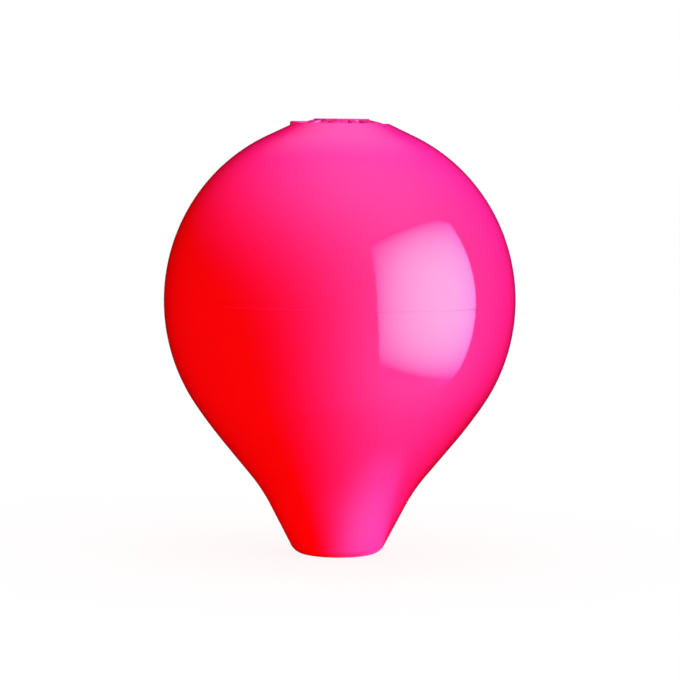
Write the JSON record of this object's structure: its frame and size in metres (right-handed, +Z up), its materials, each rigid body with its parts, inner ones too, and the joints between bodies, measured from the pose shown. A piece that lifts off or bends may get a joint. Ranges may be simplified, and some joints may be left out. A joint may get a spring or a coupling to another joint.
{
  "type": "inflatable mooring buoy",
  "caption": "Pear-shaped inflatable mooring buoy in glossy red vinyl, with a hawse tube through its axis, a ribbed crown, a screw valve and a flat foot.",
  "frame": {"origin": "centre of the flat foot, on the floor that the buoy stands on", "axes": "+Z up the hawse tube, the inflation valve on the crown towards -X"},
  "size_m": [0.4557, 0.4558, 0.5643],
  "materials": {
    "hull_vinyl": "glossy moulded soft vinyl",
    "tube_vinyl": "satin moulded soft vinyl",
    "crown_vinyl": "glossy moulded soft vinyl",
    "collar_vinyl": "satin moulded soft vinyl",
    "valve_vinyl": "glossy moulded soft vinyl",
    "screw_plastic": "moulded hard plastic"
  },
  "bodies": {
    "root": {"hull": "hull_vinyl", "hawse_tube": "tube_vinyl", "crown": "crown_vinyl", "foot_collar": "collar_vinyl", "valve_seat": "valve_vinyl", "valve_screw": "screw_plastic"}
  },
  "joints": []
}
